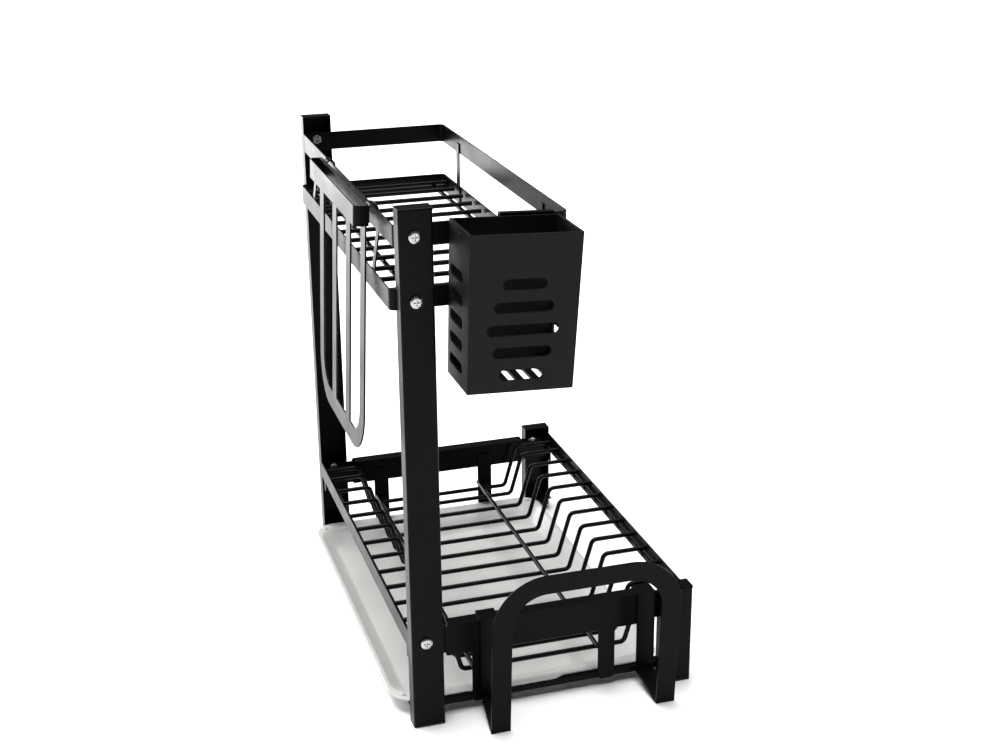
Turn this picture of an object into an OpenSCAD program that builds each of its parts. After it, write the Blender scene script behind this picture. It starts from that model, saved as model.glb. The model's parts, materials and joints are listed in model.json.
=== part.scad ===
// Dish drying rack: a bolted sheet-steel stand with a wire plate trough, an upper
// shelf, a hanging cutlery box, a knife holder, a board holder and a drip tray.
//
// Places are given as x, u, z: x runs along the rack from the near end (the end with
// the cutlery box), u runs from the back face of the tall posts towards the front,
// z is the height over the worktop. shift_x and shift_y then centre the object.

/* [Stand] */
// Length over the outer faces of the posts
rack_len = 374; // [340:1:420]
// Depth from the back of the posts to the front of the feet
rack_dep = 237; // [215:1:270]
// Height of the tall back posts
post_h = 422; // [400:0.5:460]
// Height of the short front feet
foot_h = 87.5; // [84:0.5:96]
// Width of a post, across its flat face
post_w = 25.6; // [22:0.2:30]
// Depth of a post, along the rack
post_d = 13.8; // [12:0.2:18]
// Thickness of the steel sheet
sheet_t = 1.2; // [0.8:0.1:1.6]
// Thickness of the pads under the posts and feet
pad_t = 1.6; // [1:0.2:4]

/* [Lower rack] */
// Height of the top of the end rails
rail_top = 80.6; // [76:0.2:86]
// Height of an end rail from edge to edge
rail_h = 27.2; // [22:0.2:32]
// Depth of the folded flange on an end rail
rail_flange = 11.4; // [8:0.2:14]
// Height of the long side bands
band_h = 15; // [12:0.5:20]
// Thickness of the wires and rods
wire_d = 4; // [3:0.1:4]
// Height of the flat parts of the cross wires
wire_z = 74; // [72:0.5:75]
// Height of the trough floor wires
trough_z = 33; // [28:0.5:40]
// Distance between the cross wires
wire_pitch = 28.8; // [26:0.2:29]
// Width of the flat straps under the end rails
strap_w = 14.5; // [10:0.5:18]

/* [Upper shelf] */
// Height of the top of the guard band
guard_top = 407.2; // [395:0.2:412]
// Height of the top of the shelf band
shelf_top = 360.2; // [340:0.2:372]
// Depth of the shelf over its bands
shelf_dep = 136.3; // [120:0.1:150]
// Height of the bands around the shelf
ring_h = 16; // [14:0.5:20]

/* [Cutlery box] */
// Width of the box at its rim
box_w = 83.5; // [70:0.5:86]
// Depth of the box at its rim
box_d = 53; // [44:0.5:60]
// Height of the box
box_h = 116.5; // [110:0.5:124]
// Length of the middle slot in the front face
slot_max = 54; // [46:1:56]
// How far the hanging box leans, in degrees
box_lean = 2.7; // [0:0.1:3]

/* [Knife holder] */
// Length of the knife holder
knife_len = 176; // [166:1:186]
// Height of the knife plate
knife_h = 206; // [180:1:230]
// Clear gap for the blades
knife_gap = 7.6; // [6:0.2:8]
// How far the hanging holder leans, in degrees
knife_lean = 2.7; // [0:0.1:3]

/* [Board holder] */
// Height of the arch
arch_h = 137.6; // [120:0.2:150]
// Distance from the near posts to the arch
arch_reach = 25; // [16:1:30]
// How far the arch leans outwards, in degrees
arch_lean = 4; // [0:0.5:6]

/* [Drip tray] */
// Height of the tray rim
tray_top = 14; // [13.8:0.1:15]
// Depth of the tray
tray_dep = 231.5; // [200:0.5:236]
// How far the tray sticks out behind the posts
tray_out = 11.5; // [4:0.5:16]

/* [Hidden] */
eps = 0.01;
gap = 0.3; // running gap between pieces that come apart
$fn = 48;

// ---- sheet folds
fold_r = 1.8;
steel = "#1b1b1d";
mid_x = rack_len / 2;
mid_u = rack_dep / 2;
web_x = post_d - 1.4; // outer face of the end rails
tab_x = post_d; // outer face of the rail tabs, against the post edges

// ---- screws: M4 pan heads
screw_r = 2;
bore_r = 2.15;
head_r = 4.6;
head_h = 2.6;
nut_r = 4.35;
nut_h = 3.2;
screw_u = 11.5;
foot_screw_u = 19.2; // in the front feet, from their front face
screw_out = 6; // how far a screw reaches past the post
rail_screw_z = 75.6;
shelf_screw_z = 353.7;
guard_screw_z = 401.7;
recess_w = 0.9;
recess_len = 5;
recess_deep = 1.3;

// ---- end rails
rail_bot = rail_top - rail_h;
web_u0 = post_w + 4.8; // start of the proud middle part
rail_r = 2.4;

// ---- cross wires
wire_r = wire_d / 2;
wire_bend = 5;
wire_lap = 0.3; // how far a straight part reaches into the next bend
bend_swell = 0.02; // a bend is a touch fatter than the straight parts
side_steps = 5; // wires on each side of the middle wire
end_wire_x = post_d + sheet_t + 5.4 + wire_r;
wire_xs = [
    end_wire_x,
    for (k = [-side_steps:side_steps]) mid_x + k * wire_pitch,
    rack_len - end_wire_x
];
wall_top_u = 35;
wall_foot_u = 46;
trough_u1 = rack_dep - 51;
function wire_path(start) = [
    [start, wire_z],
    [wall_top_u, wire_z],
    [wall_foot_u, trough_z],
    [trough_u1, trough_z],
    [trough_u1 + 12, wire_z],
    [rack_dep - start, wire_z]
];
rod_u = 2 * sheet_t + wire_r;
floor_wire_us = [54, 160];

// ---- straps and ledges below the end rails
strap_us = [52.3, 160];
strap_x = web_x + sheet_t;
strap_bot = 6.5;
ledge_bot = 7.2;
ledge_top = 12.2;
ledge_x0 = strap_x + sheet_t;
ledge_x1 = 24.5;

// ---- upper shelf
shelf_u0 = -4.6; // back face of the shelf band
guard_u0 = -0.6; // back face of the guard band
ring_u1 = shelf_u0 + shelf_dep; // front face of both bands
ring_r = 5;
shelf_x0 = post_d;
link_w = 8;
link_xs = [66, rack_len - 66 - link_w];
link_top = 400;
link_bot = shelf_top - ring_h + 2;
shelf_wire_z = shelf_top - 5;
shelf_steps = 6; // wires on each side of the middle of the shelf
shelf_rod_us = [15.5, ring_u1 - 13.4];
shelf_rod_x = post_d + screw_out + 2;

// ---- cutlery box
box_u = 81.9; // middle of the box
box_top = 408.3;
box_back = 11; // back face of the box
box_wall = 2;
box_taper = 3.8;
box_taper_d = 1.6;
box_bot = box_top - box_h;
box_floor = 2.2;
slot_h = 8.4;
slot_pitch = 16.8;
slot_top_z = 371.9;
slot_steps = [-21, -9.5, 0, -10, -21]; // slot lengths against the middle slot
side_slot_len = 32;
side_slot_x = -10;
side_slot_up = 1.3;
drain_len = 40;
drain_w = 6;
box_hook_w = 42;
box_hook_u = 99;
box_hook_down = 11;
box_hook_z = guard_top + gap + (box_hook_u + box_hook_w / 2 - box_u) * sin(box_lean);
stud_r = 2.2;
stud_h = 0.8;

// ---- knife holder: it hangs from, and leans about, the top of the guard band
hang_u = guard_u0 + sheet_t / 2;
knife_x0 = 66;
knife_x1 = knife_x0 + knife_len;
knife_t = 1.4;
knife_top = 409.7;
knife_bot = knife_top - knife_h;
knife_band_h = 15.7;
knife_inner_u = guard_u0 - 5.2; // face of the holder next to the rack
plate_u1 = knife_inner_u - sheet_t;
plate_u0 = plate_u1 - knife_t;
knife_outer_u = plate_u0 - knife_gap - sheet_t;
knife_edge_r = 5;
knife_side = 1.8; // from the end of the loop to the edge of the plate
plate_x0 = knife_x0 + knife_side;
plate_x1 = knife_x1 - knife_side;
knife_strip = 15.5;
knife_strips = 4;
knife_corner = 40;
knife_pitch = (plate_x1 - plate_x0 - knife_strip) / (knife_strips - 1);
hook_r = 2.95; // inner radius of a hook's bend
hook_u = knife_inner_u + sheet_t + hook_r;
hook_w = 12;
hook_z = guard_top - 1.1;
hook_down = 5.5;
knife_xs_hook = [69.5, knife_x1 - 14.5];

// ---- board holder
board_t = 1.5;
board_u0 = 55.4;
board_u1 = 211.5;
board_w = 16.2;
strap_in = 3.3; // how far the straps stand in from the outer edges of the arch
board_strap_w = 15.4;
board_rise = 9.8; // height of the back end of the sloping foot
arch_r = 44;
board_strap_x = web_x - gap - board_t;
board_hook_x = web_x + rail_flange + gap;
board_hook_top = rail_top + gap + board_t;
board_lip = 5.5;

// ---- drip tray
tray_x0 = 19.3;
tray_x1 = rack_len - 15.5;
tray_u0 = -tray_out;
tray_u1 = tray_u0 + tray_dep;
tray_t = 1.4;
tray_lip_z = ledge_top + gap;
tray_r = 20;
lip_end = 10.4; // width of the lip on the short sides
lip_side = 3.4; // width of the lip on the long sides
slope_end = 15;
slope_side = 12;
tray_floor_z = 3.4;
tray_under_z = 2;
spout_u0 = 52;
spout_u1 = 132;
spout_out = 3.6;
tray_stud = 10.5; // from the edges of the tray to a stud
tray_stud_r = 2;

// ---- centring: the box around everything is centred on the origin
box_front = box_back - box_d;
all_x0 = min(box_front, -arch_reach - board_t);
all_x1 = rack_len + head_h;
all_u0 = hang_u + (plate_u0 - hang_u) * cos(knife_lean) - (guard_top - knife_bot) * sin(knife_lean);
all_u1 = rack_dep;
shift_x = -(all_x0 + all_x1) / 2;
shift_y = (all_u0 + all_u1) / 2;

wire_names = [for (i = [1:len(wire_xs)]) str("rack_wire_", i < 10 ? "0" : "", i)];
ends = ["near", "far"];
corner_names = ["back_near", "back_far", "front_near", "front_far"];

// ================= placing helpers =================

// Places its children at x, u, z
module at(x, u, z) translate([x + shift_x, shift_y - u, z]) children();

// A block between two limits on each axis
module block(xs, us, zs)
    at(xs[0], us[1], zs[0]) cube([xs[1] - xs[0], us[1] - us[0], zs[1] - zs[0]]);

// Turns its children over to the far end of the rack
module at_end(end)
    if (end == "far")
        translate([2 * (mid_x + shift_x), 0, 0]) mirror([1, 0, 0]) children();
    else
        children();

// Turns its children over to the front side of the rack
module at_side(side)
    if (side == "front")
        translate([0, 2 * (shift_y - mid_u), 0]) mirror([0, 1, 0]) children();
    else
        children();

// An upright profile in plan, with its first axis along x and its second along u
module plan(z0, z1)
    translate([shift_x, shift_y, z0]) mirror([0, 1, 0]) linear_extrude(z1 - z0) children();

// A profile in the end view, with its first axis along u and its second along z
module end_view(x0, x1)
    at(x0, 0, 0) rotate([90, 0, 0]) rotate([0, -90, 0])
        translate([0, 0, -(x1 - x0)]) linear_extrude(x1 - x0) children();

// A profile in the side view, with its first axis along x and its second along z
module side_view(u0, u1)
    at(0, u0, 0) rotate([90, 0, 0]) linear_extrude(u1 - u0) children();

// A round bar along x, along u or along z
module bar_x(x0, x1, u, z, r) at(x0, u, z) rotate([0, 90, 0]) cylinder(h = x1 - x0, r = r);
module bar_u(x, u0, u1, z, r) at(x, u0, z) rotate([90, 0, 0]) cylinder(h = u1 - u0, r = r);

// Leans its children about a line along x through u, z: what is below moves to the back
module hung(u, z, lean) at(0, u, z) rotate([lean, 0, 0]) translate([-shift_x, u - shift_y, -z]) children();

// ================= flat shapes =================

// A rectangle with four round corners
module round_rect(a, b, r)
    union() {
        translate([a[0] + r, b[0]]) square([a[1] - a[0] - 2 * r, b[1] - b[0]]);
        translate([a[0], b[0] + r]) square([a[1] - a[0], b[1] - b[0] - 2 * r]);
        for (x = [a[0] + r, a[1] - r], y = [b[0] + r, b[1] - r]) translate([x, y]) circle(r = r);
    }

// A rectangle whose two corners on its first side are round
module fold_rect(a, b, r)
    union() {
        translate([a[0] + r, b[0]]) square([a[1] - a[0] - r, b[1] - b[0]]);
        translate([a[0], b[0] + r]) square([r + eps, b[1] - b[0] - 2 * r]);
        for (y = [b[0] + r, b[1] - r]) translate([a[0] + r, y]) circle(r = r);
    }

// A slot with round ends, centred on the origin
module slot(len, h)
    union() {
        square([len - h, h], center = true);
        for (s = [-1, 1]) translate([s * (len - h) / 2, 0]) circle(d = h);
    }

// ================= stand =================

// The C channel of a post or foot: its face is outwards, its open side inwards
module channel(h)
    color(steel) difference() {
        union() {
            plan(pad_t, h - fold_r) difference() {
                fold_rect([0, post_d], [0, post_w], fold_r);
                fold_rect([sheet_t, post_d + 1], [sheet_t, post_w - sheet_t], fold_r - sheet_t);
            }
            // side flanges run up to the folded top flap
            for (u = [0, post_w - sheet_t])
                block([fold_r, post_d], [u, u + sheet_t], [h - fold_r - eps, h - sheet_t]);
            top_flap(h);
        }
        children();
    }

// The top flap, folded over from the face
module top_flap(h)
    union() {
        block([fold_r, post_d], [0, post_w], [h - sheet_t, h]);
        intersection() {
            difference() {
                bar_u(fold_r, 0, post_w, h - fold_r, fold_r);
                bar_u(fold_r, -1, post_w + 1, h - fold_r, fold_r - sheet_t);
            }
            block([0, fold_r], [0, post_w], [h - fold_r, h]);
        }
    }

// Moves a screw or its bore from its place in a back post to its place in a front foot
module in_foot() translate([0, screw_u - foot_screw_u, 0]) children();

module screw_bore(z) bar_x(-1, post_d + screw_out, screw_u, z, bore_r);

module post_back(end)
    at_end(end) channel(post_h) {
        screw_bore(rail_screw_z);
        screw_bore(shelf_screw_z);
        screw_bore(guard_screw_z);
    }

module foot_front(end)
    at_end(end) at_side("front") channel(foot_h) in_foot() screw_bore(rail_screw_z);

// A pad that closes the bottom end of a channel
module pad(side, end)
    color("#111111") at_end(end) at_side(side) plan(0, pad_t) fold_rect([0, post_d], [0, post_w], fold_r);

// ================= lower rack =================

// An end rail: proud middle part, top flange, and tabs that step in behind the posts
module end_rail(end)
    color(steel) at_end(end) difference() {
        union() {
            rail_web();
            rail_top_flange();
            for (side = ["back", "front"]) at_side(side) rail_tab();
        }
        screw_bore(rail_screw_z);
        at_side("front") in_foot() screw_bore(rail_screw_z);
    }

module rail_web()
    end_view(web_x, web_x + sheet_t)
        round_rect([web_u0, rack_dep - web_u0], [rail_bot, rail_top], rail_r);

module rail_top_flange()
    block([web_x, web_x + rail_flange], [web_u0 + rail_r, rack_dep - web_u0 - rail_r],
          [rail_top - sheet_t, rail_top]);

// The tab behind a post, its step to the middle part, and its folded end
module rail_tab()
    union() {
        block([tab_x, tab_x + sheet_t], [sheet_t, web_u0 + rail_r], [rail_bot + rail_r, rail_top - rail_r]);
        block([web_x + eps, tab_x + eps], [web_u0 + rail_r - 1, web_u0 + rail_r],
              [rail_bot + rail_r, rail_top - rail_r]);
        block([tab_x, web_x + rail_flange], [sheet_t, 2 * sheet_t], [rail_bot, rail_top - rail_r]);
    }

// A long thin band along one side of the lower rack
module long_band(side)
    color(steel) at_side(side)
        block([tab_x + eps, rack_len - tab_x - eps], [0, sheet_t], [rail_top - band_h, rail_top]);

// A rod under the ends of the cross wires
module rack_rod(side)
    color(steel) at_side(side)
        bar_x(tab_x + sheet_t, rack_len - tab_x - sheet_t, rod_u, wire_z - wire_d, wire_r);

// A straight wire lying along the trough floor
module trough_rod(i)
    color(steel) bar_x(strap_x + sheet_t, rack_len - strap_x - sheet_t, floor_wire_us[i],
                       trough_z + wire_d, wire_r);

// Direction of the path from point i to the next one, in degrees
function heading(p, i) = atan2(p[i + 1][1] - p[i][1], p[i + 1][0] - p[i][0]);
function unit(a) = [cos(a), sin(a)];
// Length of each straight part that the bend at point i takes up
function cut(p, i) =
    i == 0 || i == len(p) - 1 ? 0
    : wire_bend * tan(abs(heading(p, i) - heading(p, i - 1)) / 2);

// A round wire along a flat path, with round bends between its straight parts
module bent_wire(p)
    union() {
        for (i = [0:len(p) - 2]) {
            // straight parts end inside the bends, so that the wire is one solid
            a = heading(p, i);
            lap0 = i == 0 ? 0 : wire_lap;
            lap1 = i == len(p) - 2 ? 0 : wire_lap;
            start = p[i] + (cut(p, i) - lap0) * unit(a);
            run = norm(p[i + 1] - p[i]) - cut(p, i) - cut(p, i + 1) + lap0 + lap1;
            translate([start[0], start[1], 0]) rotate([0, 0, a]) rotate([0, 90, 0])
                cylinder(h = run, r = wire_r - bend_swell);
        }
        for (i = [1:len(p) - 2]) {
            a = heading(p, i - 1);
            turn = heading(p, i) - a;
            side = sign(turn);
            begin = p[i] - cut(p, i) * unit(a);
            middle = begin + side * wire_bend * unit(a + 90);
            translate([middle[0], middle[1], 0])
                rotate([0, 0, a - side * 90 + min(turn, 0)])
                    rotate_extrude(angle = abs(turn)) translate([wire_bend, 0]) circle(r = wire_r);
        }
    }

// The end wires stop short of the folded ends of the end rails
module rack_wire(i)
    color(steel) at(wire_xs[i], 0, 0) rotate([0, 0, -90]) rotate([90, 0, 0])
        bent_wire(wire_path(i == 0 || i == len(wire_xs) - 1 ? 2 * sheet_t : sheet_t));

// A flat strap that hangs from an end rail and holds the ledge
module strap(end, i)
    color(steel) at_end(end) end_view(strap_x, strap_x + sheet_t) difference() {
        translate([strap_us[i], strap_bot]) square([strap_w, rail_bot + 14 - strap_bot]);
        for (u = [strap_us[i], strap_us[i] + strap_w])
            translate([u, strap_bot]) rotate(45) square(3, center = true);
    }

// The ledge that the rim of the tray rests on: an angle, its upright leg on the straps
module ledge(end)
    color(steel) at_end(end)
        side_view(0.5, rack_dep - 0.5) polygon([
            [ledge_x0, ledge_bot],
            [ledge_x0 + sheet_t, ledge_bot],
            [ledge_x0 + sheet_t, ledge_top - sheet_t],
            [ledge_x1, ledge_top - sheet_t],
            [ledge_x1, ledge_top],
            [ledge_x0, ledge_top]
        ]);

// ================= upper shelf =================

// A closed band around the shelf, screwed to the tall posts
module ring_band(top, u0, bore_z)
    color(steel) difference() {
        plan(top - ring_h, top) difference() {
            round_rect([shelf_x0, rack_len - shelf_x0], [u0, ring_u1], ring_r);
            round_rect([shelf_x0 + sheet_t, rack_len - shelf_x0 - sheet_t],
                       [u0 + sheet_t, ring_u1 - sheet_t], ring_r - sheet_t);
        }
        for (end = ends) at_end(end) screw_bore(bore_z);
    }

module guard_band() ring_band(guard_top, guard_u0, guard_screw_z);
module shelf_band() ring_band(shelf_top, shelf_u0, shelf_screw_z);

// Flat links that join the two bands; the back ones step out to the shelf band
module shelf_link(side)
    color(steel) for (x = link_xs) {
        u_top = side == "back" ? guard_u0 + sheet_t : ring_u1 - 2 * sheet_t;
        u_bot = side == "back" ? shelf_u0 + sheet_t : ring_u1 - 2 * sheet_t;
        end_view(x, x + link_w) polygon([
            [u_bot, link_bot],
            [u_bot + sheet_t, link_bot],
            [u_bot + sheet_t, shelf_top + 2],
            [u_top + sheet_t, guard_top - ring_h - 2],
            [u_top + sheet_t, link_top],
            [u_top, link_top],
            [u_top, guard_top - ring_h - 2],
            [u_bot, shelf_top + 2]
        ]);
    }

module shelf_rod(i)
    color(steel) bar_x(shelf_rod_x, rack_len - shelf_rod_x, shelf_rod_us[i],
                       shelf_wire_z - wire_d, wire_r);

module shelf_wires()
    color(steel) for (k = [1:shelf_steps], side = [-1, 1])
        bar_u(mid_x + side * (k - 0.5) * wire_pitch, shelf_u0 + 2 * sheet_t + gap,
              ring_u1 - 2 * sheet_t - gap, shelf_wire_z, wire_r);

// ================= fasteners =================

// A pan-head screw with a cross recess; its head lies against the post face
module screw(z)
    difference() {
        union() {
            bar_x(-1, post_d + screw_out, screw_u, z, screw_r);
            bar_x(-head_h / 2, 0, screw_u, z, head_r);
            at(-head_h / 2, screw_u, z) rotate([0, -90, 0]) intersection() {
                cylinder(h = head_h / 2, r = head_r);
                translate([0, 0, -head_r * 1.6 + head_h / 4]) sphere(r = head_r * 1.85);
            }
        }
        for (turn = [0, 90])
            at(-head_h, screw_u, z) rotate([turn, 0, 0]) translate([0, -recess_len / 2, -recess_w / 2])
                cube([recess_deep, recess_len, recess_w]);
    }

module nut(z)
    difference() {
        bar_nut(z);
        bar_x(0, post_d + 2 * screw_out, screw_u, z, screw_r + eps);
    }

module bar_nut(z)
    at(post_d + sheet_t, screw_u, z) rotate([0, 90, 0]) cylinder(h = nut_h, r = nut_r, $fn = 6);

// Every place where a fastener sits
module each_fastening() {
    for (end = ends) {
        for (z = [rail_screw_z, shelf_screw_z, guard_screw_z]) at_end(end) fastening(z) children();
        at_end(end) at_side("front") in_foot() fastening(rail_screw_z) children();
    }
}
module fastening(z) translate([0, 0, z]) children();

module post_screws() color("silver") each_fastening() screw(0);
module post_nuts() color("silver") each_fastening() nut(0);

// ================= cutlery box =================

// The tapered body of the box; inset makes the same shape inside the walls
module box_body(z0, inset, up)
    intersection() {
        end_view(box_front - 1, box_back + 1) polygon([
            [box_u - box_w / 2 + inset, box_top + up],
            [box_u + box_w / 2 - inset, box_top + up],
            [box_u + (box_w - box_taper) / 2 - inset, z0],
            [box_u - (box_w - box_taper) / 2 + inset, z0]
        ]);
        side_view(0, box_u + box_w) polygon([
            [box_back - inset, z0],
            [box_back - inset, box_top + up],
            [box_front + inset, box_top + up],
            [box_front + box_taper_d + inset, z0]
        ]);
    }

module cutlery_box()
    color("#202022") hung(box_u, box_top, box_lean) difference() {
        union() {
            box_body(box_bot, 0, 0);
            box_studs();
        }
        box_body(box_bot + box_floor, box_wall, eps);
        front_slots();
        side_slots();
        drain_slots();
    }

// Round studs near the rim on both sides of the box
module box_studs()
    for (side = [-1, 1]) {
        face = box_u + side * (box_w / 2 - stud_h);
        bar_u(box_front + 25, min(face, face + 2 * side * stud_h), max(face, face + 2 * side * stud_h),
              box_top - 6, stud_r);
    }

module front_slots()
    end_view(box_front - 1, box_front + 8)
        for (i = [0:len(slot_steps) - 1])
            translate([box_u, slot_top_z - i * slot_pitch]) slot(slot_max + slot_steps[i], slot_h);

module side_slots()
    side_view(box_u - box_w, box_u + box_w)
        for (i = [0:len(slot_steps) - 1])
            translate([side_slot_x, slot_top_z + side_slot_up - i * slot_pitch])
                slot(side_slot_len, slot_h);

module drain_slots()
    plan(box_bot - 1, box_bot + box_floor + 1)
        for (u = [-24:12:24])
            translate([box_front + box_d / 2, box_u + u]) slot(drain_len, drain_w);

// The sheet hook: over the guard band and down inside it
module box_hook()
    color(steel) hung(box_u, box_top, box_lean) union() {
        x1 = shelf_x0 + sheet_t + gap;
        us = [box_hook_u - box_hook_w / 2, box_hook_u + box_hook_w / 2];
        block([box_back, box_back + sheet_t], us, [box_top - 30, box_hook_z + sheet_t]);
        block([box_back, x1 + sheet_t], us, [box_hook_z, box_hook_z + sheet_t]);
        block([x1, x1 + sheet_t], us, [box_hook_z - box_hook_down, box_hook_z + sheet_t]);
    }

// ================= knife holder =================

// Outline of the knife plate, drawn in from its edge by inset
module knife_outline(inset)
    union() {
        x0 = plate_x0 + inset;
        x1 = plate_x1 - inset;
        r = knife_corner - inset;
        z0 = knife_bot + inset;
        translate([x0, z0 + r]) square([x1 - x0, knife_top - z0 - r]);
        translate([x0 + r, z0]) square([x1 - x0 - 2 * r, r + eps]);
        for (x = [x0 + r, x1 - r]) translate([x, z0 + r]) circle(r = r);
    }

// The flat plate: a top band, four strips and a round bottom
module knife_plate()
    color(steel) hung(hang_u, guard_top, knife_lean) side_view(plate_u0, plate_u1) difference() {
        knife_outline(0);
        intersection() {
            knife_outline(knife_strip);
            for (i = [0:knife_strips - 2])
                translate([plate_x0 + knife_strip + i * knife_pitch, knife_bot])
                    square([knife_pitch - knife_strip, knife_h - knife_band_h]);
        }
    }

// The closed loop of band around the blade gap: round corners away from the rack
module knife_band()
    color(steel) hung(hang_u, guard_top, knife_lean) plan(knife_top - knife_band_h, knife_top) difference() {
        loop_outline([knife_x0, knife_x1], [knife_outer_u, knife_inner_u], knife_edge_r);
        loop_outline([knife_x0 + sheet_t, knife_x1 - sheet_t],
                     [knife_outer_u + sheet_t, knife_inner_u - sheet_t], knife_edge_r - sheet_t);
    }

// A rectangle whose two corners on its first side along u are round
module loop_outline(a, b, r)
    union() {
        translate([a[0], b[0] + r]) square([a[1] - a[0], b[1] - b[0] - r]);
        translate([a[0] + r, b[0]]) square([a[1] - a[0] - 2 * r, r + eps]);
        for (x = [a[0] + r, a[1] - r]) translate([x, b[0] + r]) circle(r = r);
    }

// A bent hook over the guard band
module knife_hook(i)
    color(steel) hung(hang_u, guard_top, knife_lean)
        end_view(knife_xs_hook[i], knife_xs_hook[i] + hook_w) union() {
            out = hook_r + sheet_t;
            leg_z = knife_top - knife_band_h + 2;
            difference() {
                translate([hook_u, hook_z]) circle(r = out);
                translate([hook_u, hook_z]) circle(r = hook_r);
                translate([hook_u - 2 * out, hook_z - 3 * out]) square([4 * out, 3 * out]);
            }
            translate([hook_u - out, leg_z]) square([sheet_t, hook_z - leg_z + eps]);
            translate([hook_u + hook_r, hook_z - hook_down]) square([sheet_t, hook_down + eps]);
        }

// ================= board holder =================

// The arch, cut from flat sheet, leaning outwards over its foot
module board_arch()
    color(steel) at(-arch_reach - board_t, 0, 0) rotate([0, -arch_lean, 0]) at_zero()
        end_view(0, board_t) difference() {
            arch_outline(0);
            arch_outline(board_w);
        }

// Undoes the centring, for a piece that is turned before it is placed
module at_zero() translate([-shift_x, -shift_y, 0]) children();

module arch_outline(inset)
    union() {
        a = board_u0 + inset;
        b = board_u1 - inset;
        r = arch_r - inset;
        top = arch_h - inset;
        translate([a, -inset]) square([b - a, top - r + inset]);
        translate([a + r, 0]) square([b - a - 2 * r, top]);
        for (u = [a + r, b - r]) translate([u, top - r]) circle(r = r);
    }

// A strap from the foot of the arch, sloping up a little, then up and over the end rail
module board_strap(i)
    color(steel) union() {
        leg_u0 = i == 0 ? board_u0 : board_u1 - board_w;
        u0 = i == 0 ? board_u0 + strap_in : board_u1 - strap_in - board_strap_w;
        us = [u0, u0 + board_strap_w];
        board_foot(leg_u0, u0);
        block([board_strap_x, board_strap_x + board_t], us, [board_rise, board_hook_top]);
        block([board_strap_x, board_hook_x + board_t], us, [board_hook_top - board_t, board_hook_top]);
        block([board_hook_x, board_hook_x + board_t], us, [board_hook_top - board_lip, board_hook_top]);
    }

// The sloping foot between a leg of the arch and its strap
module board_foot(leg_u0, strap_u0)
    intersection() {
        side_view(board_u0, board_u1) polygon([
            [-arch_reach + eps, 0],
            [-arch_reach + eps - board_t * tan(arch_lean), board_t],
            [board_strap_x, board_rise + board_t],
            [board_strap_x + board_t, board_rise + board_t],
            [board_strap_x + board_t, board_rise],
            [-arch_reach + board_t, 0]
        ]);
        plan(0, board_rise + 2 * board_t) polygon([
            [-arch_reach - board_t, leg_u0],
            [board_strap_x, strap_u0],
            [board_strap_x + board_t, strap_u0],
            [board_strap_x + board_t, strap_u0 + board_strap_w],
            [board_strap_x, strap_u0 + board_strap_w],
            [-arch_reach - board_t, leg_u0 + board_w]
        ]);
    }

// ================= drip tray =================

// A thin slab of the tray's plan, drawn in from the rim, at one height
module tray_slab(z, in_end, in_side, r)
    plan(z, z + eps) round_rect([tray_x0 + in_end, tray_x1 - in_end],
                                [tray_u0 + in_side, tray_u1 - in_side], r);

// The sloped basin, taken between its mouth and its floor
module tray_basin(top, floor_z, wall)
    hull($fn = 32) {
        tray_slab(top, lip_end - wall, lip_side - wall, tray_r - lip_side + wall);
        tray_slab(floor_z, lip_end + slope_end - wall, lip_side + slope_side - wall, tray_r + wall);
    }

module drip_tray()
    color("#e9ecec") difference() {
        union() {
            plan(tray_lip_z, tray_top) tray_rim();
            tray_basin(tray_lip_z, tray_under_z, tray_t);
            tray_studs(tray_top - 1, tray_top + 1, tray_stud_r);
        }
        tray_basin(tray_top, tray_floor_z, 0);
        tray_studs(tray_top, tray_top + 2, tray_stud_r / 2);
    }

// Plan of the rim, with the shallow pouring lip on the near side
module tray_rim()
    union() {
        round_rect([tray_x0, tray_x1], [tray_u0, tray_u1], tray_r);
        round_rect([tray_x0 - spout_out, tray_x0 + lip_end], [spout_u0, spout_u1], 4);
    }

// Small round studs on the corners of the tray
module tray_studs(z0, z1, r)
    for (x = [tray_x0 + tray_stud, tray_x1 - tray_stud], u = [tray_u0 + tray_stud, tray_u1 - tray_stud])
        at(x, u, z0) cylinder(h = z1 - z0, r = r);

// ================= nodes =================

for (end = ends) {
    post_back(end);
    foot_front(end);
    pad("back", end);
    pad("front", end);
    end_rail(end);
    strap(end, 0);
    strap(end, 1);
    ledge(end);
}
for (i = [0:len(wire_xs) - 1]) {
    rack_wire(i);
}
long_band("back");  // long_band_back
long_band("front");  // long_band_front
rack_rod("back");  // rack_rod_back
rack_rod("front");  // rack_rod_front
trough_rod(0);  // trough_rod_back
trough_rod(1);  // trough_rod_front
guard_band();
shelf_band();
shelf_link("back");  // shelf_link_back
shelf_link("front");  // shelf_link_front
shelf_rod(0);  // shelf_rod_back
shelf_rod(1);  // shelf_rod_front
shelf_wires();
post_screws();
post_nuts();
cutlery_box();
box_hook();
knife_plate();
knife_band();
knife_hook(0);  // knife_hook_near
knife_hook(1);  // knife_hook_far
board_arch();
board_strap(0);  // board_strap_back
board_strap(1);  // board_strap_front
drip_tray();
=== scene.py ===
"""Looks for the dish drying rack: materials, rounded edges, welds, a tray, floor, light and camera.

Everything is in metres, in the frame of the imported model: +X runs along the rack away from the
cutlery box, +Y is the back, where the tall posts stand, and the worktop is at z = 0.
"""
import json
import math

import bmesh
import bpy
from mathutils import Matrix, Vector


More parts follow.
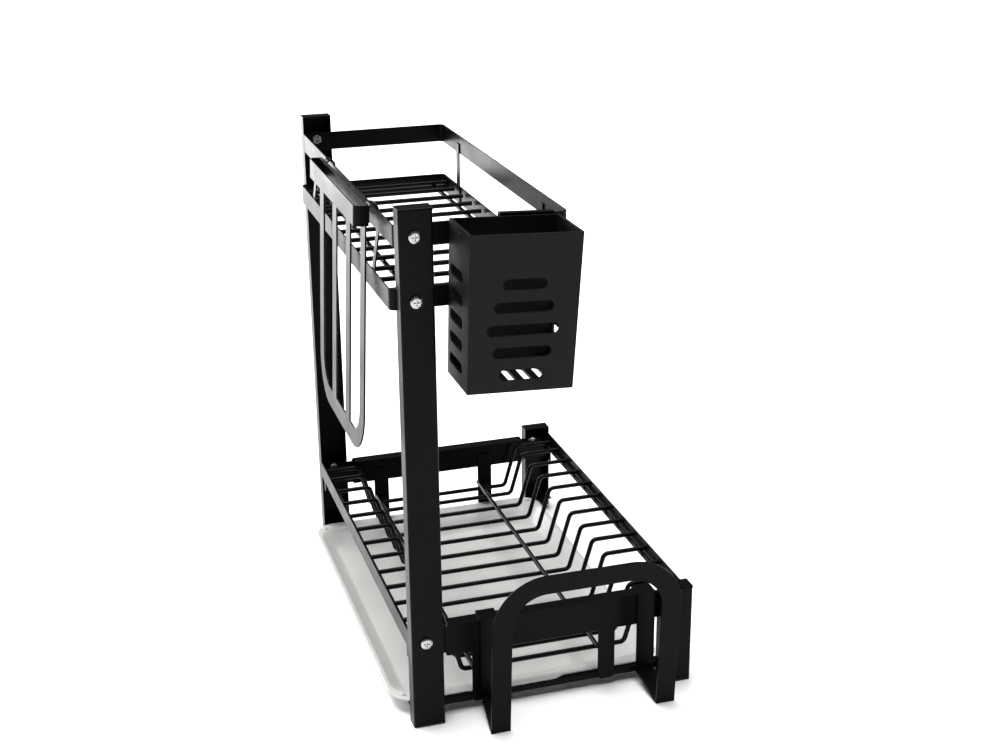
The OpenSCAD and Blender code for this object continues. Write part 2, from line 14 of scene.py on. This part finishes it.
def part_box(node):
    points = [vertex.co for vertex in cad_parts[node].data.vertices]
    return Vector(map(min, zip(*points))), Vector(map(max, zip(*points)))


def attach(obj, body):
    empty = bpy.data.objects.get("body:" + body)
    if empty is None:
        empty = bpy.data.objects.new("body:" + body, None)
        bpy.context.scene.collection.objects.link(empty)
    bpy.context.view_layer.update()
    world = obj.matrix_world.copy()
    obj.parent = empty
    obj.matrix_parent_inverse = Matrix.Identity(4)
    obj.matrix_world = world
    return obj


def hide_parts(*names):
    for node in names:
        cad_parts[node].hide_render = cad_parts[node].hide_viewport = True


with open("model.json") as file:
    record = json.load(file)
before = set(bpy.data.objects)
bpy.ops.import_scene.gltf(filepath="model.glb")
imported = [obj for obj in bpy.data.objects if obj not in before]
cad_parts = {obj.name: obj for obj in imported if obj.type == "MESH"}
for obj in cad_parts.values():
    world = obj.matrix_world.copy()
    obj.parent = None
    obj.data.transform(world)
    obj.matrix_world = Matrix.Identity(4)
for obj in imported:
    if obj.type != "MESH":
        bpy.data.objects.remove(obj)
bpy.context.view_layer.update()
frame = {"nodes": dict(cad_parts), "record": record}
nodes = frame["nodes"]
bodies = frame["record"]["behaviour"]["bodies"]
MM = 0.001


# ------------------------------------------------------------------ material helpers

class Shader:
    """A new material with one Principled shader, and short calls to wire nodes into it."""

    def __init__(self, name, color, roughness, **sockets):
        self.material = bpy.data.materials.new(name)
        self.material.use_nodes = True
        self.tree = self.material.node_tree
        self.bsdf = self.tree.nodes["Principled BSDF"]
        self.bsdf.inputs["Base Color"].default_value = (*color, 1)
        self.bsdf.inputs["Roughness"].default_value = roughness
        for socket, value in sockets.items():
            self.bsdf.inputs[socket.replace("_", " ")].default_value = value
        self.place = self.node("ShaderNodeTexCoord").outputs["Object"]
        self.height = None

    def node(self, kind, **settings):
        made = self.tree.nodes.new(kind)
        for key, value in settings.items():
            setattr(made, key, value)
        return made

    def link(self, source, target):
        self.tree.links.new(source, target)

    def noise(self, size, detail=3.0, rough=0.5, stretch=(1, 1, 1)):
        """Noise whose features are about size metres across."""
        scale = self.node("ShaderNodeMapping")
        scale.inputs["Scale"].default_value = stretch
        self.link(self.place, scale.inputs["Vector"])
        made = self.node("ShaderNodeTexNoise")
        made.inputs["Scale"].default_value = 1 / size
        made.inputs["Detail"].default_value = detail
        made.inputs["Roughness"].default_value = rough
        self.link(scale.outputs["Vector"], made.inputs["Vector"])
        return made.outputs["Fac"]

    def spread(self, value, low, high, start=0.0, end=1.0):
        """Maps value from low..high to start..end."""
        made = self.node("ShaderNodeMapRange")
        for socket, number in (("From Min", low), ("From Max", high), ("To Min", start), ("To Max", end)):
            made.inputs[socket].default_value = number
        self.link(value, made.inputs["Value"])
        return made.outputs["Result"]

    def colors(self, value, low, high):
        """A colour between low and high."""
        made = self.node("ShaderNodeMix", data_type="RGBA")
        made.inputs["A"].default_value = (*low, 1)
        made.inputs["B"].default_value = (*high, 1)
        self.link(value, made.inputs["Factor"])
        self.link(made.outputs["Result"], self.bsdf.inputs["Base Color"])

    def roughness(self, value, low, high):
        self.link(self.spread(value, 0.3, 0.7, low, high), self.bsdf.inputs["Roughness"])

    def bump(self, value, depth, strength=1.0):
        """Adds bumps of about depth metres on top of those there already."""
        made = self.node("ShaderNodeBump")
        made.inputs["Distance"].default_value = depth
        made.inputs["Strength"].default_value = strength
        self.link(value, made.inputs["Height"])
        if self.height is not None:
            self.link(self.height, made.inputs["Normal"])
        self.height = made.outputs["Normal"]
        self.link(self.height, self.bsdf.inputs["Normal"])


# ------------------------------------------------------------------ materials

def powder_coat():
    """Satin black powder coat on steel: a fine orange-peel skin with slow changes of gloss."""
    s = Shader("powder_coat", (0.003, 0.003, 0.0035), 0.3, Specular_IOR_Level=0.07)
    speckle = s.spread(s.noise(0.0012, 5.0, 0.7), 0.35, 0.75)
    s.colors(speckle, (0.0015, 0.0015, 0.0018), (0.004, 0.004, 0.0046))
    s.roughness(s.noise(0.03, 4.0), 0.25, 0.35)
    s.bump(s.noise(0.0022, 2.0), 0.00003, 0.5)
    s.bump(s.noise(0.0005, 2.0), 0.00001, 0.5)
    return s.material


def wire_coat():
    """The same coat on round wire, a little glossier where it has flowed."""
    s = Shader("wire_coat", (0.003, 0.003, 0.0035), 0.3, Specular_IOR_Level=0.1)
    speckle = s.spread(s.noise(0.002, 4.0, 0.7), 0.35, 0.75)
    s.colors(speckle, (0.0015, 0.0015, 0.0018), (0.004, 0.004, 0.0045))
    s.roughness(s.noise(0.012, 4.0), 0.24, 0.38)
    s.bump(s.noise(0.0035, 2.0), 0.00006, 0.5)
    return s.material


def foot_rubber():
    """Matte black rubber."""
    s = Shader("foot_rubber", (0.012, 0.012, 0.012), 0.7)
    s.colors(s.noise(0.002, 4.0), (0.008, 0.008, 0.008), (0.02, 0.02, 0.02))
    s.roughness(s.noise(0.004), 0.6, 0.8)
    s.bump(s.noise(0.0008), 0.00005, 0.6)
    return s.material


def zinc_plate():
    """Bright zinc on screws and nuts, with turning marks and a faint blue-yellow passivation."""
    s = Shader("zinc_plate", (0.46, 0.46, 0.45), 0.2, Metallic=1.0)
    tint = s.spread(s.noise(0.003, 3.0), 0.3, 0.7)
    s.colors(tint, (0.36, 0.38, 0.4), (0.54, 0.52, 0.48))
    s.roughness(s.noise(0.0015, 5.0), 0.12, 0.3)
    s.bump(s.noise(0.0006, 4.0, 0.7), 0.00003, 0.6)
    return s.material


def box_plastic():
    """Moulded black plastic with a fine spark-eroded grain."""
    s = Shader("box_plastic", (0.006, 0.006, 0.007), 0.5, Specular_IOR_Level=0.13)
    speckle = s.spread(s.noise(0.0009, 5.0, 0.75), 0.35, 0.75)
    s.colors(speckle, (0.003, 0.003, 0.0036), (0.0085, 0.0085, 0.0096))
    s.roughness(s.noise(0.02, 4.0), 0.42, 0.56)
    s.bump(s.noise(0.0007, 3.0, 0.7), 0.00004, 0.6)
    s.bump(s.noise(0.05, 1.0), 0.0005, 0.25)
    return s.material


def tray_plastic():
    """Milky translucent plastic with a faint satin grain and flow marks."""
    s = Shader("tray_plastic", (0.6, 0.6, 0.585), 0.38, Transmission_Weight=0.3, IOR=1.46)
    clouds = s.spread(s.noise(0.06, 3.0), 0.3, 0.7)
    s.colors(clouds, (0.57, 0.575, 0.56), (0.64, 0.64, 0.62))
    s.roughness(s.noise(0.015, 4.0), 0.3, 0.46)
    s.bump(s.noise(0.0011, 3.0, 0.6), 0.00004, 0.5)
    s.bump(s.noise(0.02, 2.0, stretch=(0.3, 1, 1)), 0.0003, 0.25)
    return s.material


def floor_paper():
    """Seamless white studio paper."""
    s = Shader("floor_paper", (0.9, 0.9, 0.9), 0.85)
    s.colors(s.noise(0.05, 4.0), (0.895, 0.895, 0.895), (0.905, 0.905, 0.905))
    s.bump(s.noise(0.002), 0.00002, 0.3)
    return s.material


MATERIALS = {
    "powder_coat": powder_coat(),
    "wire_coat": wire_coat(),
    "foot_pad": foot_rubber(),
    "zinc": zinc_plate(),
    "box_plastic": box_plastic(),
    "tray_plastic": tray_plastic(),
}


# ------------------------------------------------------------------ finishing the CAD nodes

def paint(piece, material):
    """Puts one material on every slot of a piece."""
    if not piece.material_slots:
        piece.data.materials.append(material)
    for entry in piece.material_slots:
        entry.material = material


EDGE = {"powder_coat": 0.25 * MM, "zinc": 0.12 * MM, "box_plastic": 0.5 * MM, "foot_pad": 0.3 * MM}
EDGE_SEGMENTS = 2
SHARP_ANGLE = math.radians(35)  # an edge turned by more than this is rounded
FLAT_ANGLE = math.radians(1)  # faces turned by less than this are joined into one
WELD_DISTANCE = 0.002 * MM


def round_edges(piece, width):
    """Small rounded edges on a CAD node, whose own mesh stays as it is."""
    weld = piece.modifiers.new("join", "WELD")
    weld.merge_threshold = WELD_DISTANCE
    flat = piece.modifiers.new("flat", "DECIMATE")
    flat.decimate_type = "DISSOLVE"
    flat.angle_limit = FLAT_ANGLE
    bevel = piece.modifiers.new("edges", "BEVEL")
    bevel.width = width
    bevel.segments = EDGE_SEGMENTS
    bevel.limit_method = "ANGLE"
    bevel.angle_limit = SHARP_ANGLE
    bevel.use_clamp_overlap = True
    bevel.harden_normals = False
    smooth = piece.modifiers.new("shade", "WEIGHTED_NORMAL")
    smooth.keep_sharp = False
    smooth.weight = 60


WIRE_WORDS = ("wire", "rod")
for entry in frame["record"]["subparts"]:
    node, slot = entry["node"], entry["material_slot"]
    is_wire = any(word in node for word in WIRE_WORDS)
    paint(nodes[node], MATERIALS["wire_coat" if is_wire else slot])
    if slot in EDGE and not is_wire:
        round_edges(nodes[node], EDGE[slot])


# ------------------------------------------------------------------ mesh helpers

def add_mesh(name, made, body, material):
    """Turns a bmesh into a smooth piece that rides on a body."""
    data = bpy.data.meshes.new(name)
    made.normal_update()
    made.to_mesh(data)
    made.free()
    piece = bpy.data.objects.new(name, data)
    bpy.context.scene.collection.objects.link(piece)
    data.polygons.foreach_set("use_smooth", [True] * len(data.polygons))
    paint(piece, material)
    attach(piece, body)
    return piece


def middle(node):
    """The middle of a CAD node's box."""
    low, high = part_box(node)
    return (low + high) / 2


# ------------------------------------------------------------------ drip tray

TRAY_WALL = 1.4 * MM
TRAY_CORNER = 20 * MM
LIP_END, LIP_SIDE = 10.4 * MM, 3.4 * MM
SLOPE_END, SLOPE_SIDE = 15 * MM, 12 * MM
LIP_THICK = 1.4 * MM
SPOUT_OUT = 3.6 * MM
SPOUT_MIDDLE, SPOUT_HALF = 92 * MM, 40 * MM  # from the back face of the posts, and half its width
STUD_IN = 10.5 * MM  # from the edges of the tray to a stud
STUD_UP = 1 * MM
STEP = 0.8 * MM
CORNER_POINTS = 14
SIDE_POINTS = 28


def rounded_ring(x0, x1, y0, y1, radius):
    """Points round a rectangle with round corners, evenly spread along each side."""
    points = []
    corners = [(x1, y1, 0), (x0, y1, 90), (x0, y0, 180), (x1, y0, 270)]
    for x, y, start in corners:
        cx = x - math.copysign(radius, x - (x0 + x1) / 2)
        cy = y - math.copysign(radius, y - (y0 + y1) / 2)
        arc = [math.radians(start + 90 * k / CORNER_POINTS) for k in range(CORNER_POINTS + 1)]
        corner = [Vector((cx + radius * math.cos(a), cy + radius * math.sin(a))) for a in arc]
        if points:
            points += side_points(points[-1], corner[0])
        points += corner
    return points + side_points(points[-1], points[0])


def side_points(a, b):
    """Points evenly spread between two corners, without the corners."""
    return [a.lerp(b, k / SIDE_POINTS) for k in range(1, SIDE_POINTS)]


def add_stud(made, place):
    """A small round stud with a hollow in its top."""
    # how far out in mm, and how far up as a share of the stud's height
    profile = [(2.0, -0.3), (2.0, 0.7), (1.8, 1.0), (1.2, 1.0), (1.0, 0.8), (0.9, 0.1)]
    steps = 20
    rings = []
    for radius, up in profile:
        ring = []
        for k in range(steps):
            a = 2 * math.pi * k / steps
            x = place[0] + radius * MM * math.cos(a)
            y = place[1] + radius * MM * math.sin(a)
            ring.append(made.verts.new((x, y, place[2] + up * STUD_UP)))
        rings.append(ring)
    for a, b in zip(rings, rings[1:]):
        for k in range(steps):
            n = (k + 1) % steps
            made.faces.new((a[k], a[n], b[n], b[k]))
    made.faces.new(rings[0][::-1])
    made.faces.new(rings[-1])


def add_tray():
    """A thin moulded tray: a lip that rests on the ledges, sloped walls, a small step and a flat floor."""
    low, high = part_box("drip_tray")
    x0, x1, y0, y1 = low.x + SPOUT_OUT, high.x, low.y, high.y
    top, floor = high.z - STUD_UP, low.z + TRAY_WALL
    lip_under = top - LIP_THICK
    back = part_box("post_back_near")[1].y
    spout_y = back - SPOUT_MIDDLE

    def slope(t):
        return LIP_END + SLOPE_END * t, LIP_SIDE + SLOPE_SIDE * t

    fall = (top - floor - STEP - 1.1 * MM) / 0.85
    # each ring: how far in from the lip edge at the ends and sides, height, how much of the spout it has
    rings = [(*slope(1.12), floor, 0)]
    rings += [(*slope(1.02), floor + 0.15 * MM, 0), (*slope(0.99), floor + STEP * 0.6, 0)]
    rings += [(*slope(0.95), floor + STEP, 0), (*slope(0.88), floor + STEP + 0.4 * MM, 0)]
    rings += [(*slope(t), top - 0.5 * MM - fall * t, 1 - t) for t in (0.8, 0.6, 0.4, 0.2)]
    rings += [(*slope(0.06), top - 0.25 * MM, 1), (LIP_END * 0.9, LIP_SIDE * 0.8, top, 1)]
    rings += [(0.7 * MM, 0.7 * MM, top, 1), (0.25 * MM, 0.25 * MM, top - 0.15 * MM, 1)]
    rings += [(0, 0, top - 0.5 * MM, 1), (0, 0, lip_under + 0.4 * MM, 1)]
    rings += [(0.3 * MM, 0.3 * MM, lip_under, 1), (1.2 * MM, 1.2 * MM, lip_under, 1)]
    rings += [(LIP_END - 0.8 * MM, LIP_SIDE - 0.8 * MM, lip_under, 1)]
    under = lip_under - low.z
    rings += [(*slope(t), lip_under - under * t, 1 - t) for t in (0.25, 0.5, 0.75)]
    rings += [(*slope(0.97), low.z + 0.1 * MM, 0), (*slope(1.05), low.z, 0)]

    made = bmesh.new()
    loops = []
    for end, side, z, share in rings:
        radius = max(TRAY_CORNER - side * 0.35, 4 * MM)
        loop = []
        for p in rounded_ring(x0 + end, x1 - end, y0 + side, y1 - side, radius):
            reach = 1 - ((p.y - spout_y) / SPOUT_HALF) ** 2
            near = p.x < x0 + end + 0.1 * MM
            out = SPOUT_OUT * share * min(1, 3 * reach) ** 2 if near and reach > 0 else 0
            loop.append(made.verts.new((p.x - out, p.y, z)))
        loops.append(loop)
    count = len(loops[0])
    for a, b in zip(loops, loops[1:]):
        for k in range(count):
            n = (k + 1) % count
            made.faces.new((a[k], a[n], b[n], b[k]))
    made.faces.new(loops[0][::-1])
    made.faces.new(loops[-1])
    for x in (x0 + STUD_IN, x1 - STUD_IN):
        for y in (y0 + STUD_IN, y1 - STUD_IN):
            add_stud(made, (x, y, top))
    bmesh.ops.recalc_face_normals(made, faces=made.faces)
    tray = add_mesh("tray_shell", made, "tray", MATERIALS["tray_plastic"])
    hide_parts("drip_tray")


# ------------------------------------------------------------------ welds

def add_bead(made, place, size, seed):
    """One small uneven blob of weld metal."""
    before = set(made.verts)
    bmesh.ops.create_icosphere(made, subdivisions=2, radius=0.5)
    for vertex in set(made.verts) - before:
        wobble = 1 + 0.09 * math.sin(9 * vertex.co.x + seed) * math.cos(7 * vertex.co.y + 2 * seed)
        vertex.co = Vector(c * s * wobble for c, s in zip(vertex.co, size)) + Vector(place)


def add_welds():
    """Beads where the wires cross the rods and meet the bands."""
    made = bmesh.new()
    wires = [n for n in bodies["stand"] if n.startswith("rack_wire_")]
    seed = 0
    for wire in wires:
        x = middle(wire).x
        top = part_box(wire)[1].z
        for rod in ("rack_rod_back", "rack_rod_front"):
            seed += 1
            at = middle(rod)
            add_bead(made, (x, at.y, at.z + 2 * MM), (5.0 * MM, 3.4 * MM, 2.2 * MM), seed)
        for rod in ("trough_rod_back", "trough_rod_front"):
            seed += 1
            at = middle(rod)
            add_bead(made, (x, at.y, at.z - 2 * MM), (4.6 * MM, 4.6 * MM, 1.8 * MM), seed)
        for band, inwards in (("long_band_back", -1), ("long_band_front", 1)):
            seed += 1
            low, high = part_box(band)
            inner = low.y if inwards < 0 else high.y
            add_bead(made, (x, inner, top - 2 * MM), (5.4 * MM, 2.2 * MM, 4.6 * MM), seed)
    add_mesh("weld_beads", made, "stand", MATERIALS["wire_coat"])


# ------------------------------------------------------------------ stage, light and camera

FLOOR_RADIUS = 40
FLOOR_GAP = 0.05 * MM  # the floor lies this far below the feet


def add_floor():
    """A wide round sheet of studio paper under the rack."""
    data = bpy.data.meshes.new("floor")
    made = bmesh.new()
    bmesh.ops.create_circle(made, cap_ends=True, radius=FLOOR_RADIUS, segments=96)
    made.to_mesh(data)
    made.free()
    floor = bpy.data.objects.new("floor", data)
    bpy.context.scene.collection.objects.link(floor)
    floor.location.z = -FLOOR_GAP
    floor.data.materials.append(floor_paper())


def add_area(name, place, target, size, power):
    """A rectangular white light at a place, turned to a target."""
    light = bpy.data.lights.new(name, "AREA")
    light.shape = "RECTANGLE"
    light.size, light.size_y = size
    light.energy = power
    lamp = bpy.data.objects.new(name, light)
    lamp.location = place
    lamp.rotation_euler = (Vector(target) - Vector(place)).to_track_quat("-Z", "Y").to_euler()
    bpy.context.scene.collection.objects.link(lamp)


def add_light():
    """A soft overhead light on the white floor, and a tall softbox behind the far end of the rack."""
    world = bpy.data.worlds.new("studio")
    bpy.context.scene.world = world
    world.use_nodes = True
    background = world.node_tree.nodes["Background"]
    background.inputs["Color"].default_value = (1, 1, 1, 1)
    background.inputs["Strength"].default_value = 0.12
    overhead = bpy.data.lights.new("overhead", "SUN")
    overhead.energy = 5.6
    overhead.angle = math.radians(50)
    lamp = bpy.data.objects.new("overhead", overhead)
    lamp.rotation_euler = Vector((0.12, 0.12, 1)).to_track_quat("Z", "Y").to_euler()
    bpy.context.scene.collection.objects.link(lamp)
    add_area("far_softbox", (1.8, 0.95, 0.62), (0, 0, 0.2), (1.2, 1.3), 38)


def add_camera():
    """A camera near the cutlery-box end, left of the tall posts, looking down along the rack."""
    camera_data = bpy.data.cameras.new("camera")
    camera_data.lens = 55.19
    camera_data.sensor_width = 36
    camera_data.clip_start = 0.01
    camera_data.clip_end = 200
    camera = bpy.data.objects.new("camera", camera_data)
    yaw, pitch, roll = 0.29996, -0.35616, -0.00999
    forward = Vector((math.cos(yaw) * math.cos(pitch), -math.sin(yaw) * math.cos(pitch), math.sin(pitch)))
    level = Vector((-math.sin(yaw), -math.cos(yaw), 0))
    upright = level.cross(forward)
    right = level * math.cos(roll) + upright * math.sin(roll)
    up = upright * math.cos(roll) - level * math.sin(roll)
    turn = Matrix((right, up, -forward)).transposed().to_4x4()
    # placed from the near post: its outer face and its back face
    place = (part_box("post_back_near")[0].x - 1.01605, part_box("post_back_near")[1].y + 0.24057, 0.68623)
    camera.matrix_world = Matrix.Translation(place) @ turn
    bpy.context.scene.collection.objects.link(camera)
    bpy.context.scene.camera = camera


add_tray()
add_welds()
add_floor()
add_light()
add_camera()
bpy.context.scene.view_settings.view_transform = "Standard"
